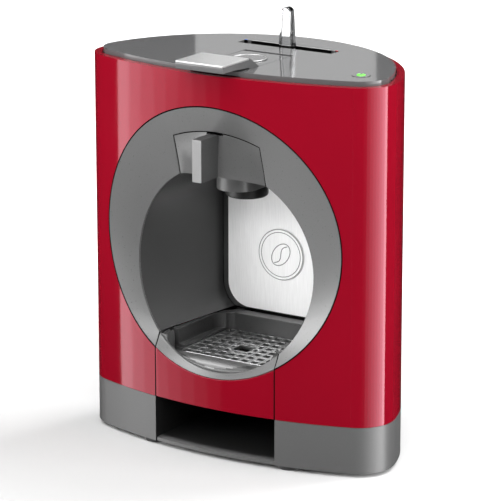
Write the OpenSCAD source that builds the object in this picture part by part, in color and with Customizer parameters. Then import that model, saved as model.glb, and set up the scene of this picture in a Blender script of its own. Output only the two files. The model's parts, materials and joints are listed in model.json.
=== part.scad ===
// Pod coffee machine: an oval upright body with a round brewing recess,
// a capsule drawer, a height-adjustable drip tray, a lifting lock handle,
// a temperature lever and a water tank at the rear.
// Frame: +X to the right, +Y to the rear, +Z up; the table is z = 0.

/* [Body] */
// Overall width of the body
body_w = 240; // [234:1:300]
// Height of the top cover above the table
body_h = 276.5; // [272:0.5:340]
// Front bulge, from the line through the centres of the round ends
front_d = 41.8; // [40:0.1:50]
// Rear bulge, from the same line
back_d = 99.4; // [97:0.1:120]
// Radius of the rounded ends
end_r = 25.75; // [24:0.25:31]
// Thickness of the outer shells
wall = 3; // [2.4:0.1:3.6]
// Height of the seam between base and coloured shell
base_h = 36; // [34:0.5:37]
// Height of the feet
foot_h = 3; // [2:0.5:5]
// Radius of a foot
foot_r = 8; // [5:0.5:9]

/* [Front ring] */
// Radius of the ring's outer edge
ring_r = 96.4; // [93:0.1:98]
// Height of the centre of the outer edge
ring_z = 154.8; // [153:0.1:158]
// Radius of the recess mouth
mouth_r = 72.2; // [60:0.1:74]
// Height of the centre of the mouth
mouth_z = 134.4; // [133:0.1:136]
// Depth of the mouth edge behind the front, level with its centre
mouth_sink = 9.1; // [7:0.1:11]
// How much deeper the mouth edge gets per millimetre of height
mouth_tilt = 0.07; // [0.04:0.01:0.08]
// Thickness of the ring and the recess liner
skin = 2; // [1.5:0.1:2.4]

/* [Recess] */
// Y of the back plate's front face
back_plate_y = 49.5; // [46:0.5:50]
// Width of the back plate
back_plate_w = 91; // [80:1:94]
// Height of the back plate
back_plate_h = 103.5; // [90:0.5:106]
// Width of the dark border round the back plate
border_w = 5.5; // [4:0.5:6]
// Diameter of the raised disc on the back plate
badge_d = 38; // [30:1:44]

/* [Drip tray] */
// Width of the tray front and of the bay below it
tray_w = 98.8; // [92:0.2:100]
// How far the tray can be lowered
tray_drop = 27; // [20:1:27]
// Height of the drip grid's top face
grid_z = 69.5; // [68:0.5:71]
// Centre distance of the grid's slots
grid_pitch = 8; // [7:0.5:10]
// Width of one grid slot
grid_slot = 5.4; // [4:0.2:6]

/* [Capsule drawer] */
// Diameter of a capsule's rim
capsule_d = 54; // [50:0.5:55]
// Y of the capsule's axis
capsule_y = 4.5; // [3:0.5:6]
// Height of the drawer's top face, where the capsule's rim rests
seat_z = 224; // [222:0.5:225]
// Width of the drawer's front cover
drawer_front_w = 70; // [68:0.5:72]
// Width of the grip fin
fin_w = 7.3; // [5:0.1:10]
// Y of the grip fin's front edge
fin_y = -58; // [-64:1:-52]
// Radius of the outlet shroud
shroud_r = 15; // [13.5:0.5:15.5]
// Height of the lower edge of the outlet nozzle
nozzle_z = 180.4; // [176:0.2:184]
// How far the drawer pulls out
drawer_travel = 80; // [60:1:90]

/* [Lock handle] */
// Width of the handle
handle_w = 38.6; // [36:0.2:40]
// How far the handle reaches past the front of the body
handle_reach = 12.9; // [8:0.1:20]
// Height of the handle plate above the cover
handle_rise = 7.5; // [6:0.5:10]
// Y of the hinge pin
hinge_y = 27.5; // [27:0.5:29]
// Opening angle
handle_open = 95; // [80:1:95]
// Throw of the cam that drives the injector
cam_throw = 8; // [6:0.5:8]

/* [Lever] */
// Width of the lever at the cover
lever_w = 11; // [9:0.5:12]
// How far the lever stands above the cover
lever_out = 28.5; // [20:0.5:36]
// Swing to each side
lever_swing = 24; // [15:1:25]
// Y of the lever's middle plane
lever_y = 56.6; // [56:0.1:57]
// Thickness of the lever
lever_t = 7; // [5:0.5:7]

/* [Tank] */
// Width of the water tank
tank_w = 156; // [130:1:158]
// Y of the tank's front wall
tank_y = 64.5; // [64:0.5:66]
// Wall of the tank
tank_wall = 2.2; // [1.6:0.1:3]
// How far the tank slides back
tank_travel = 50; // [40:1:80]

/* [Clearances] */
// Seam between outer pieces
seam = 0.4; // [0.3:0.1:0.8]
// Radial clearance of a running fit
run = 0.05; // [0.02:0.01:0.1]
// Gap between pieces that slide past each other
slide_gap = 0.5; // [0.3:0.1:0.8]

/* [Hidden] */
$fn = 72;
ARC_FN = 360;

// ---- outline of the body in plan -------------------------------------------------
end_x = body_w / 2 - end_r;
function arc_centre(d) = (end_x * end_x - pow(d - end_r, 2)) / (2 * (d - end_r));
front_c = arc_centre(front_d);
front_R = front_c + front_d;
back_c = arc_centre(back_d);
back_R = back_c + back_d;
front_tangent_x = end_x * front_R / (front_R - end_r);
function front_y(x) = front_c - sqrt(pow(front_R, 2) - x * x);
function back_y(x) = sqrt(pow(back_R, 2) - x * x) - back_c;
function unit(v) = v / norm(v);
function mix(a, b, t) = a + (b - a) * t;

arc_step = 0.02;
y_shift = -(back_d + fin_y) / 2;

// ---- heights ---------------------------------------------------------------------
cover_t = 3;
cover_inset = 6.3;
rim_z = body_h - 3.4;
rim_w = cover_inset - 0.7;
deck_z = base_h - 2.5;
floor_z = foot_h + 2.5;
bay_w = tray_w + 2 * seam;
bay_back = 61;
tray_x = tray_w / 2;
tray_seam_z = mouth_z - sqrt(pow(mouth_r, 2) - pow(tray_x + seam, 2));
cradle_t = 2.2;
tray_floor_z = floor_z + tray_drop + cradle_t + 1.6;
cradle_z = tray_floor_z - cradle_t - 0.1;
tray_back = 47;
bay_wall_y = tank_y - 3;

recess_z = mouth_z + 0.8;
plate_z0 = recess_z - back_plate_h / 2;
border_hw = back_plate_w / 2 + border_w;
border_hh = back_plate_h / 2 + border_w;
plate_corner = 18;
border_corner = plate_corner + border_w;

drawer_z = seat_z - 14;
drawer_hw = 31.5;
drawer_back = capsule_y + capsule_d / 2 + 2.5;
drawer_arc_r = ring_z + ring_r - mouth_z - 18.8;
shroud_z = nozzle_z + 7.6;
shroud_front = -6.6;
bulge_y = -front_d + 3.9;
fin_z0 = shroud_z + 14;
fin_z1 = mouth_z + drawer_arc_r - 0.8;

hinge_z = body_h - 4.7;
pin_r = 1.5;
barrel_r = 3.2;
panel_end = hinge_y + 1.5;
opening_front = -24;
opening_back = hinge_y + 5.5;
opening_hw = handle_w / 2 + slide_gap;
cam_r = 8;
cam_phase = 40;
cam_gap = 0.6;
cam_y = hinge_y - cam_throw * sin(cam_phase);
cam_z = hinge_z - cam_throw * cos(cam_phase);
carriage_top = cam_z - cam_r - cam_gap;
carriage_t = 9;
carriage_lift = cam_throw * (cos(cam_phase) - cos(cam_phase + handle_open));
disc_z = seat_z + 4;
guide_x = opening_hw + 0.4;
guide_t = 4;
lug_z = body_h - cover_t - 0.2;
frame_x = drawer_hw + 1;
frame_t = 3;
ledge_z = drawer_z - 0.3;
shelf_z = disc_z + 4 + carriage_lift + 1.5;
spring_y = 33;

valve_z0 = 200;
valve_z1 = 216;
valve_front = 37;
valve_back = 52;
lever_pivot_z = 208;
arm_top = body_h - 21.5;
slot_hw = (body_h - lever_pivot_z) * tan(lever_swing) + lever_w / 2 / cos(lever_swing) + 2.5;
slot_front = lever_y - lever_t / 2 - 1.1;
slot_back = lever_y + lever_t / 2 + 2;
trim_y = lever_y + lever_t / 2 + 0.7;
mark_w = 6;

button_r = 6.25;
button_travel = 1.2;

tank_hw = tank_w / 2;
tank_z0 = base_h + 4;
tank_z1 = rim_z - 11;
valve_x = -62;
valve_z = tank_z0 + 12;

pump_x = -(body_w / 2 - 29.5);
pump_y = 8;
heater_x = body_w / 2 - 30;
heater_y = 8;
foot_spots = [[-56, -27], [56, -27], [-62, 62], [62, 62]];
screw_spots = [[-84, -12], [84, -12], [-78, 46], [78, 46]];
front_screw_spots = [[-108, 9], [108, 9]];
rear_screw_spots = [[-70, 54], [70, 54]];
cover_screw_spots = concat(front_screw_spots, rear_screw_spots);
boss_r = 3.6;
boss_z = rim_z - 25;

// ---- shared shapes -----------------------------------------------------------------
module outline(i = 0) {
    front_ray = unit([end_x, -front_c]) * 2 * end_r;
    back_ray = unit([end_x, back_c]) * 2 * end_r;
    intersection() {
        translate([0, front_c]) circle(r = front_R - i, $fn = ARC_FN);
        translate([0, -back_c]) circle(r = back_R - i, $fn = ARC_FN);
        polygon([[end_x, 0], [end_x, 0] + back_ray, [0, 2 * back_d], [-end_x - back_ray[0], back_ray[1]],
            [-end_x, 0], [-end_x - front_ray[0], front_ray[1]], [0, -2 * front_d], [end_x, 0] + front_ray]);
    }
    for (s = [-1, 1])
        intersection() {
            translate([s * end_x, 0]) circle(r = end_r - arc_step - i);
            polygon([[s * end_x, 0], [s * (end_x + front_ray[0]), front_ray[1]],
                [s * (end_x + 2 * end_r), -2 * end_r], [s * (end_x + back_ray[0]), back_ray[1]]]);
        }
}

module slab(z0, z1, i = 0) translate([0, 0, z0]) linear_extrude(z1 - z0) outline(i);

module shell_wall(z0, z1, i0, i1)
    translate([0, 0, z0]) linear_extrude(z1 - z0) difference() {
        outline(i0);
        outline(i1);
    }

// box from two corners
module block(a, b) translate(a) cube(b - a);

// block from x0 to x1 on the right (s = 1) or mirrored to the left (s = -1)
module beside(s, x0, x1, y, z) block([s > 0 ? x0 : -x1, y[0], z[0]], [s > 0 ? x1 : -x0, y[1], z[1]]);

// cylinder along Y from y0 to y1
module rod_y(r, y0, y1, x, z) translate([x, y0, z]) rotate([-90, 0, 0]) cylinder(r = r, h = y1 - y0);

// cylinder along X from x0 to x1
module rod_x(r, x0, x1, y, z) translate([x0, y, z]) rotate([0, 90, 0]) cylinder(r = r, h = x1 - x0);

module post(r, z0, z1, x = 0, y = 0) translate([x, y, z0]) cylinder(r = r, h = z1 - z0);

module rounded(w, h, r) {
    square([w, h - 2 * r], center = true);
    square([w - 2 * r, h], center = true);
    for (x = [-1, 1], z = [-1, 1]) translate([x * (w / 2 - r), z * (h / 2 - r)]) circle(r = r);
}

// upright rounded plate facing -Y
module plate_xz(w, h, r, y0, y1, z)
    translate([0, y1, z]) rotate([90, 0, 0]) linear_extrude(y1 - y0) rounded(w, h, r);

// ---- swept hoses and wires -------------------------------------------------------
function catmull(p0, p1, p2, p3, t) = 0.5 * ((2 * p1) + (p2 - p0) * t
    + (2 * p0 - 5 * p1 + 4 * p2 - p3) * t * t + (3 * p1 - p0 - 3 * p2 + p3) * t * t * t);
function smooth_path(p, n = 4) = let (m = len(p)) [
    for (i = [0:m - 2], k = [0:n - 1])
        catmull(p[max(i - 1, 0)], p[i], p[i + 1], p[min(i + 2, m - 1)], k / n),
    p[m - 1]];
function side_of(d) = abs(d[2]) > 0.9 ? unit(cross(d, [0, 1, 0])) : unit(cross(d, [0, 0, 1]));

function heading(path, i) = unit(path[min(i + 1, len(path) - 1)] - path[max(i - 1, 0)]);

// tube along a path; the end faces square to the directions first and last where these are given
module sweep(path, r, sides = 8, first = undef, last = undef) {
    m = len(path);
    rings = [for (i = [0:m - 1])
        let (d = i == 0 && first ? first : i == m - 1 && last ? last : heading(path, i),
            u = side_of(d), v = cross(d, u))
        for (k = [0:sides - 1]) path[i] + r * (cos(360 * k / sides) * u + sin(360 * k / sides) * v)];
    walls = [for (i = [0:m - 2], k = [0:sides - 1])
        let (a = i * sides + k, b = i * sides + (k + 1) % sides)
        each [[a, b, b + sides], [a, b + sides, a + sides]]];
    polyhedron(rings, concat(walls, [[for (k = [sides - 1:-1:0]) k]],
        [[for (k = [0:sides - 1]) (m - 1) * sides + k]]));
}

module hose(points, r) {
    n = len(points);
    sweep(smooth_path(points), r, 8, unit(points[1] - points[0]), unit(points[n - 1] - points[n - 2]));
}

// ---- ring surface -------------------------------------------------------------------
RING_STEPS = 96;
function mouth_edge_y(x, z) = front_y(x) + mouth_sink + mouth_tilt * (z - mouth_z);
function ring_point(a, t, out = 0) = let (
    xo = (ring_r - seam) * cos(a), xi = mouth_r * cos(a),
    zo = ring_z + (ring_r - seam) * sin(a), zi = mouth_z + mouth_r * sin(a))
    [mix(xo, xi, t), mix(front_y(xo), mouth_edge_y(xi, zi), t) + out, mix(zo, zi, t)];

module ring_band()
    let (n = RING_STEPS,
        p = [for (k = [0:n - 1]) let (a = 360 * k / n)
            each [ring_point(a, 0), ring_point(a, 1), ring_point(a, 1, skin), ring_point(a, 0, skin)]],
        f = [for (k = [0:n - 1], j = [0:3])
            let (a = 4 * k + j, b = 4 * k + (j + 1) % 4, c = 4 * ((k + 1) % n) + (j + 1) % 4, d = 4
                * ((k + 1) % n) + j)
            each [[a, b, c], [a, c, d]]])
    polyhedron(p, f);

// share of the way from outer edge to mouth at a point of the front view
function ring_share(x, z) = let (w = z - ring_z, dz = mouth_z - ring_z, dr = ring_r - mouth_r,
    qa = dz * dz - dr * dr, qb = 2 * (ring_r * dr - w * dz), qc = x * x + w * w - ring_r * ring_r)
    min(1, max(0, (-qb + sqrt(max(0, qb * qb - 4 * qa * qc))) / (2 * qa)));
function ring_y(x, z) = let (t = ring_share(x, z), k = x / mix(ring_r, mouth_r, t))
    mix(front_y(ring_r * k), mouth_edge_y(mouth_r * k, min(z, mouth_z + mouth_r)), t);

module drawer_window(grow = 0)
    translate([0, -5, 0]) rotate([90, 0, 0]) linear_extrude(front_d + 5) intersection() {
        translate([0, mouth_z]) circle(r = drawer_arc_r + grow, $fn = 180);
        translate([-drawer_front_w / 2 - grow, mouth_z]) square([drawer_front_w + 2 * grow,
            drawer_arc_r + 10]);
    }

// ---- base ---------------------------------------------------------------------------
module base_housing() color("dimgray") difference() {
    union() {
        shell_wall(foot_h, base_h, 0, wall);
        slab(deck_z, base_h, wall / 2);
        for (s = [-1, 1]) translate([s * (bay_w / 2 + 1.25) - 1.25, -front_d, floor_z])
            cube([2.5, bay_back + front_d, base_h - floor_z - 1]);
        block([-bay_w / 2 - 2.5, bay_back, floor_z], [bay_w / 2 + 2.5, bay_back + 2, base_h - 1]);
        for (p = screw_spots) post(5, floor_z, deck_z + 1, p[0], p[1]);
    }
    for (p = screw_spots) post(1.56, floor_z - 1, floor_z + 7, p[0], p[1]);
    block([-bay_w / 2, -front_d - 5, foot_h - 1], [bay_w / 2, bay_back, base_h + 1]);
    difference() {
        block([-bay_w / 2 - 3, -front_d - 5, foot_h - 1], [bay_w / 2 + 3, -front_d + 25, base_h + 1]);
        slab(foot_h - 2, base_h + 2);
    }
    rod_y(gland_r + 0.02, back_d - 12, back_d + 2, 0, gland_z);
}

gland_z = 18;
gland_r = 6;
cord_hole_r = 3.6;
module cord_gland() color("black") difference() {
    union() {
        rod_y(gland_r, back_d - wall - 4, back_d - 0.3, 0, gland_z);
        rod_y(gland_r + 3, back_d - wall - 4, back_d - wall - 0.6, 0, gland_z);
    }
    rod_y(cord_hole_r, back_d - 20, back_d + 2, 0, gland_z);
}

module base_plate() color("dimgray") difference() {
    union() {
        slab(foot_h, floor_z - 0.1, wall + seam);
        intersection() {
            slab(foot_h, floor_z - 0.1, 0.8);
            block([-bay_w / 2 + seam, -front_d - 5, 0], [bay_w / 2 - seam, 0, floor_z + 5]);
        }
    }
    for (p = screw_spots) post(1.6, foot_h - 1, floor_z + 1, p[0], p[1]);
}

module rubber_feet() color("black")
    for (p = foot_spots) post(foot_r, 0, foot_h, p[0], p[1]);

module base_screws() color("silver")
    for (p = screw_spots) translate([p[0], p[1], 0]) {
        post(3, foot_h - 1.2, foot_h - 0.02);
        post(1.55, foot_h - 0.02, floor_z + 5);
    }

// ---- shell and cover ------------------------------------------------------------------
module body_shell() color("crimson") difference() {
    union() {
        shell_wall(base_h + 0.2, rim_z, 0, wall);
        shell_wall(rim_z - 4, rim_z, wall / 2, rim_w);
        for (p = front_screw_spots) {
            post(boss_r, boss_z, body_h - cover_t - 0.1, p[0], p[1]);
            intersection() {
                slab(boss_z, rim_z - 8, wall / 2);
                beside(sign(p[0]), abs(p[0]), abs(p[0]) + 20, [p[1] - 2, p[1] + 2], [boss_z, rim_z - 8]);
            }
        }
    }
    for (p = front_screw_spots) post(1.56, boss_z - 1, body_h, p[0], p[1]);
    rod_y(ring_r, -front_d - 20, -end_r / 3, 0, ring_z);
    block([-bay_w / 2, -front_d - 20, base_h - 1], [bay_w / 2, -front_d + 15, ring_z]);
    block([-tank_hw - slide_gap, bay_wall_y, tank_z0 - 1], [tank_hw + slide_gap, back_d + 5, tank_z1 + 2]);
}

module top_cover() color("slategray") difference() {
    union() {
        slab(body_h - cover_t, body_h, cover_inset);
        shell_wall(body_h - 10, body_h - cover_t, cover_inset, cover_inset + 2);
    }
    block([-opening_hw, opening_front, body_h - 20], [opening_hw, opening_back, body_h + 5]);
    block([-slot_hw, slot_front, body_h - 20], [slot_hw, slot_back, body_h + 5]);
    post(button_r + 0.3, body_h - 20, body_h + 5, end_x, 0);
    block([-handle_w / 2 - 1, -front_d - 5, body_h - 20],
        [handle_w / 2 + 1, -front_d + 12, body_h - cover_t]);
    for (p = front_screw_spots) post(boss_r + 0.6, body_h - 12, body_h - cover_t, p[0], p[1]);
    for (p = cover_screw_spots) post(1.6, body_h - cover_t - 1, body_h - 1, p[0], p[1]);
}

module cover_screws() color("silver")
    for (p = cover_screw_spots) {
        post(1.55, boss_z - 0.02, body_h - 1.2, p[0], p[1]);
        post(3, boss_z - 2.5, boss_z - 0.02, p[0], p[1]);
    }

// ---- chassis -----------------------------------------------------------------------
module chassis() color("darkslategray") difference() {
    union() {
        block([-tank_hw, bay_wall_y, base_h], [tank_hw, bay_wall_y + 2, body_h - 10.2]);
        for (s = [-1, 1]) beside(s, 32, 40, [52, bay_wall_y], [base_h + 42, base_h + 45]);
        for (p = rear_screw_spots) difference() {
            block([p[0] - 4, p[1] - 4, boss_z], [p[0] + 4, bay_wall_y, body_h - cover_t - 0.1]);
            post(1.56, boss_z - 1, body_h, p[0], p[1]);
        }
        for (s = [-1, 1]) beside(s, 44, 52, [bay_wall_y + 1, bay_wall_y + 18], [base_h, tank_z0 - 0.02]);
        for (s = [-1, 1]) block([s * 36 - 2, back_plate_y + 5, 200], [s * 36 + 2, bay_wall_y, 206]);
    }
    block([-slot_hw - 2, slot_front, valve_z0 + 40], [slot_hw + 2, bay_wall_y + 1, body_h]);
    rod_y(4.2, bay_wall_y - 5, bay_wall_y + 5, valve_x, valve_z);
    for (s = [-1, 1]) post(3.05, base_h, base_h + 60, s * 36, 56.6);
}

module guide_rods() color("silver")
    for (s = [-1, 1]) post(3, floor_z, base_h + 45, s * 36, 56.6);

module head_frame() color("darkslategray") difference() {
    union() {
        for (s = [-1, 1]) {
            beside(s, frame_x, frame_x + frame_t, [-20, 50], [ledge_z - 3, body_h - cover_t - 0.2]);
            beside(s, 27.5, frame_x, [-20, 36], [ledge_z - 3, ledge_z]);
            beside(s, guide_x, frame_x, [-18, 35], [shelf_z, shelf_z + 3]);
            beside(s, guide_x, guide_x + guide_t, [-18, 35], [shelf_z, lug_z]);
            beside(s, frame_x, frame_x + frame_t, [47.4, 50], [valve_z0 - 3, ledge_z]);
            beside(s, frame_x, frame_x + frame_t, [50, bay_wall_y - 0.02], [ledge_z - 3, ledge_z + 8]);
        }
        block([-frame_x, spring_y - 3, disc_z + 2], [frame_x, spring_y + 3, disc_z + 5]);
        block([-frame_x - frame_t, 42, valve_z0 - 3], [frame_x + frame_t, 50, valve_z0 - 0.02]);
    }
    rod_x(pin_r + 0.01, -guide_x - guide_t - 1, guide_x + guide_t + 1, hinge_y, hinge_z);
}

// ---- front ring and recess -----------------------------------------------------------
module front_ring() color("gray") difference() {
    ring_band();
    drawer_window(seam);
    block([-tray_x - seam, -front_d - 5, 0], [tray_x + seam, 0, mouth_z - 20]);
}

LINER_STEPS = 72;
LINER_SLICES = 3;
function box_reach(a, hw, hh, r) = let (c = abs(cos(a)), s = abs(sin(a)),
    side = hw / max(c, 0.0001), lid = hh / max(s, 0.0001), k = c * (hw - r) + s * (hh - r),
    corner = k + sqrt(max(0, k * k - pow(hw - r, 2) - pow(hh - r, 2) + r * r)))
    side * s <= hh - r ? side : lid * c <= hw - r ? lid : corner;
function liner_point(a, t, out) = let (
    front = [(mouth_r + out) * cos(a), 0, mouth_z + (mouth_r + out) * sin(a)],
    edge = mouth_edge_y(mouth_r * cos(a), mouth_z + mouth_r * sin(a)) + skin + 0.1,
    k = box_reach(a, border_hw + out, border_hh + out, border_corner + out),
    back = [k * cos(a), back_plate_y + 1.5, recess_z + k * sin(a)])
    [mix(front[0], back[0], t), mix(edge, back[1], t), mix(front[2], back[2], t)];

module recess_liner() color("dimgray") difference() {
    let (n = LINER_STEPS, m = LINER_SLICES,
        p = [for (k = [0:n - 1]) let (a = 360 * k / n)
            each concat([for (i = [0:m]) liner_point(a, i / m, 0)],
                [for (i = [m:-1:0]) liner_point(a, i / m, skin)])],
        w = 2 * (m + 1),
        f = [for (k = [0:n - 1], j = [0:w - 1])
            let (a = w * k + j, b = w * k + (j + 1) % w, c = w * ((k + 1) % n) + (j + 1) % w, d = w
                * ((k + 1) % n) + j)
            each [[a, b, c], [a, c, d]]])
    polyhedron(p, f);
    block([-tray_x - seam, -front_d, 0], [tray_x + seam, back_plate_y + 5, tray_seam_z + 0.3]);
    block([-27.4, -front_d, 190], [27.4, drawer_back, seat_z]);
}

module back_frame() color("dimgray") difference() {
    plate_xz(2 * border_hw - 1, 2 * border_hh - 1, border_corner - 0.5, back_plate_y + 1.6,
        back_plate_y + 3.6, recess_z);
    block([-tray_x, 0, 0], [tray_x, back_plate_y + 5, tray_seam_z + 0.3]);
}

module back_plate() color("silver")
    plate_xz(back_plate_w, back_plate_h, plate_corner, back_plate_y, back_plate_y + 1.5, recess_z);

module plate_badge() color("gainsboro")
    rod_y(badge_d / 2, back_plate_y - 1, back_plate_y - 0.02, 0, mouth_z - 7.4);

// ---- drip tray ------------------------------------------------------------------------
module tray_panel() color("crimson") difference() {
    intersection() {
        shell_wall(base_h + 0.2, ring_z - ring_r + 40, 0, wall);
        block([-tray_x, -front_d - 5, 0], [tray_x, 0, ring_z]);
    }
    rod_y(ring_r, -front_d - 20, 0, 0, ring_z);
}

module tray_bezel() color("gray") intersection() {
    ring_band();
    block([-tray_x, -front_d - 5, 0], [tray_x, 0, tray_seam_z + 15]);
}

function tray_side(s, i) = [[s * (tray_x - i - 0.6), -29.4 + i], [s * (tray_x - 3.6 - i), 20],
    [s * (tray_x - 7.5 - i), 38 - i / 2], [s * (tray_x - 15 - i / 2), tray_back - i]];
function reversed(v) = [for (k = [len(v) - 1:-1:0]) v[k]];
function tray_plan(i = 0) = concat(tray_side(1, i), reversed(tray_side(-1, i)));

pocket_z = grid_z + 1.5;
pocket_hw = tray_x - 6.4;
pocket_back = 33.5;
grid_hw = tray_x - 12.6;
grid_front = -26.8;
grid_back = 36.8;
module grid_plan(i = 0)
    translate([0, (grid_front + grid_back) / 2])
        rounded(2 * (grid_hw + i), grid_back - grid_front + 2 * i, 6 + i);

module tray_basin() color("dimgray") {
    top = tray_seam_z - 0.2;
    difference() {
        translate([0, 0, tray_floor_z]) linear_extrude(top - tray_floor_z) polygon(tray_plan());
        translate([0, 0, tray_floor_z + 2]) linear_extrude(top) grid_plan(-2.5);
        translate([0, 0, grid_z - 3]) linear_extrude(top) grid_plan(0.3);
        translate([0, (pocket_back - 60) / 2, pocket_z]) linear_extrude(top)
            rounded(2 * pocket_hw, pocket_back + 60, 9);
        block([-tray_x - 5, -40, grid_z - 1], [tray_x + 5, -18, top + 5]);
    }
}

cols = floor((grid_hw - grid_slot / 2) / grid_pitch);
rows_front = floor((1 - grid_slot / 2 - grid_front) / grid_pitch);
rows_back = floor((grid_back - 1 - grid_slot / 2) / grid_pitch);
drain_hw = 6.5;
module drip_grid() color("silver") difference() {
    union() {
        difference() {
            translate([0, 0, grid_z - 2.8]) linear_extrude(2.8) grid_plan();
            for (i = [-cols:cols], j = [-rows_front:rows_back]) if (i != 0 || j != 0)
                translate([i * grid_pitch - grid_slot / 2, 1 + j * grid_pitch - grid_slot / 2, grid_z - 5])
                    cube([grid_slot, grid_slot, 8]);
        }
        block([-drain_hw - 1.5, -drain_hw - 0.5, grid_z - 2.8], [drain_hw + 1.5, drain_hw + 2.5, grid_z]);
    }
    block([-drain_hw, 1 - drain_hw, grid_z - 5], [drain_hw, 1 + drain_hw, grid_z + 5]);
}

module tray_cradle() color("black") difference() {
    union() {
        block([-tray_x + 1.5, -28, cradle_z], [tray_x - 1.5, 60, cradle_z + cradle_t]);
        for (s = [-1, 1]) block([s * 36 - 7, 53, cradle_z], [s * 36 + 7, 60, cradle_z + 16]);
    }
    for (s = [-1, 1]) post(3 + 2 * run, cradle_z - 1, cradle_z + 20, s * 36, 56.6);
}

// ---- capsule drawer -----------------------------------------------------------------
FACE_COLS = 24;
FACE_ROWS = 8;
face_hw = drawer_front_w / 2;
function face_low(x) = fin_z0 - (fin_z0 - (mouth_z + sqrt(pow(mouth_r, 2) - pow(face_hw, 2))))
    * pow(x / face_hw, 2);
function face_high(x) = mouth_z + sqrt(pow(drawer_arc_r, 2) - x * x);
function face_y(x, v) = let (z = mix(face_low(x), face_high(x), v), flat = ring_y(x, z),
    m = pow(1 - pow(x / face_hw, 2), 1.5) * (1 - pow(v, 4)))
    mix(flat, min(flat, bulge_y), m);
function face_point(i, j, out) = let (x = mix(-face_hw, face_hw, i / FACE_COLS), v = j / FACE_ROWS)
    [x, face_y(x, v) + out, mix(face_low(x), face_high(x), v)];

module drawer_front() color("gray") {
    n = FACE_COLS;
    m = FACE_ROWS;
    c = n + 1;
    k = c * (m + 1);
    p = [for (out = [0, skin], j = [0:m], i = [0:n]) face_point(i, j, out)];
    skins = [for (j = [0:m - 1], i = [0:n - 1]) let (a = j * c + i)
        each [[a, a + c, a + c + 1], [a, a + c + 1, a + 1], [k + a, k + a + 1, k + a + c + 1],
            [k + a, k + a + c + 1, k + a + c]]];
    rim = concat([for (i = [0:n]) i], [for (j = [1:m]) j * c + n], [for (i = [n - 1:-1:0]) m * c + i],
        [for (j = [m - 1:-1:1]) j * c]);
    edge = [for (q = [0:len(rim) - 1]) let (a = rim[q], b = rim[(q + 1) % len(rim)])
        each [[a, b, b + k], [a, b + k, a + k]]];
    difference() {
        union() {
            polyhedron(p, concat(skins, edge));
            block([-fin_w / 2, fin_y, fin_z0], [fin_w / 2, bulge_y + 1, fin_z1]);
        }
        block([-fin_w / 2 - 3, bulge_y + 1, fin_z1 - 0.8], [fin_w / 2 + 3, 0, fin_z1 + 5]);
    }
}

module capsule_holder() color("dimgray") {
    cone_low = 196;
    difference() {
        union() {
            block([-drawer_hw, -23, drawer_z], [drawer_hw, drawer_back, seat_z]);
            translate([0, capsule_y, 0]) rotate_extrude() polygon([[0, shroud_z], [shroud_r, shroud_z],
                [shroud_r, cone_low], [capsule_d / 2 - 1, drawer_z + 2], [0, drawer_z + 2]]);
            post(shroud_r, shroud_z, drawer_z + 1, 0, shroud_front);
            block([-shroud_r, shroud_front, shroud_z], [shroud_r, capsule_y, drawer_z + 1]);
            for (s = [-1, 1]) block([s * 20 - 3, -32.3, drawer_z + 2], [s * 20 + 3, -22, drawer_z + 8]);
        }
        translate([0, capsule_y, 0]) rotate_extrude() polygon([[0, shroud_z - 1], [6, shroud_z - 1],
            [6, shroud_z + 2],
            [shroud_r - 2, shroud_z + 2], [shroud_r - 2, cone_low], [capsule_d / 2 - 3, drawer_z + 2],
            [capsule_d / 2 - 2.5, seat_z - 2.5], [capsule_d / 2 + 0.3, seat_z - 2.5],
                [capsule_d / 2 + 0.3, seat_z + 1],
            [0, seat_z + 1]]);
        block([-2.5, capsule_y, seat_z - 12], [2.5, drawer_back + 1, seat_z + 1]);
    }
}

module outlet_nozzle() color("black") translate([0, capsule_y, 0]) rotate_extrude()
    polygon([[8, nozzle_z], [shroud_r - 1.2, nozzle_z], [shroud_r, nozzle_z + 1.2],
        [shroud_r, shroud_z - 0.02],
        [8, shroud_z - 0.02]]);

// ---- lock handle and injector ---------------------------------------------------------
handle_front = -front_d - handle_reach;
plate_bottom = body_h + 2;
handle_top = body_h + handle_rise;
module lock_handle() color("dimgray") {
    difference() {
        union() {
            translate([-handle_w / 2, 0, 0]) rotate([90, 0, 90]) linear_extrude(handle_w)
                polygon([[handle_front, plate_bottom], [handle_front, handle_top - 1.5],
                    [-22.4, handle_top - 1.5],
                    [-21.9, handle_top], [-9.9, body_h], [panel_end, body_h], [panel_end, body_h - 5.5],
                    [-22, body_h - 5.5], [-22, body_h + 0.7], [-42, plate_bottom]]);
            rod_x(barrel_r, -handle_w / 2, handle_w / 2, hinge_y, hinge_z);
            for (s = [-1, 1]) rod_x(cam_r, s * 11 - 3, s * 11 + 3, cam_y, cam_z);
        }
        rod_x(pin_r + run, -handle_w, handle_w, hinge_y, hinge_z);
    }
}

module handle_inlay() color("silver")
    block([-handle_w / 2, handle_front, handle_top - 1.48], [handle_w / 2, -22.4, handle_top]);

module handle_badge() color("gainsboro")
    post(13, body_h + 0.02, body_h + 0.5, 0, 7);

module hinge_pin() color("silver")
    rod_x(pin_r, -guide_x - guide_t, guide_x + guide_t, hinge_y, hinge_z);

module injector_carriage() color("black") difference() {
    union() {
        block([-guide_x + 0.4, -12, carriage_top - carriage_t], [guide_x - 0.4, 24, carriage_top]);
        block([-4, 20, carriage_top - carriage_t], [4, 49, carriage_top - carriage_t + 5]);
        post(12, disc_z, carriage_top - carriage_t + 1, 0, capsule_y);
        post(22.5, disc_z, disc_z + 4, 0, capsule_y);
    }
    post(1.22, disc_z - 1, disc_z + 6, 0, capsule_y);
}

module injector_needle() color("silver")
    translate([0, capsule_y, seat_z - 10]) rotate_extrude()
        polygon([[0, 0], [1.2, 3], [1.2, 15.5], [0, 15.5]]);

module capsule_seal() color("black") translate([0, 0, seat_z + 1.5]) difference() {
    post(22, 0, 2.48, 0, capsule_y);
    post(17, -1, 4, 0, capsule_y);
}

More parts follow.
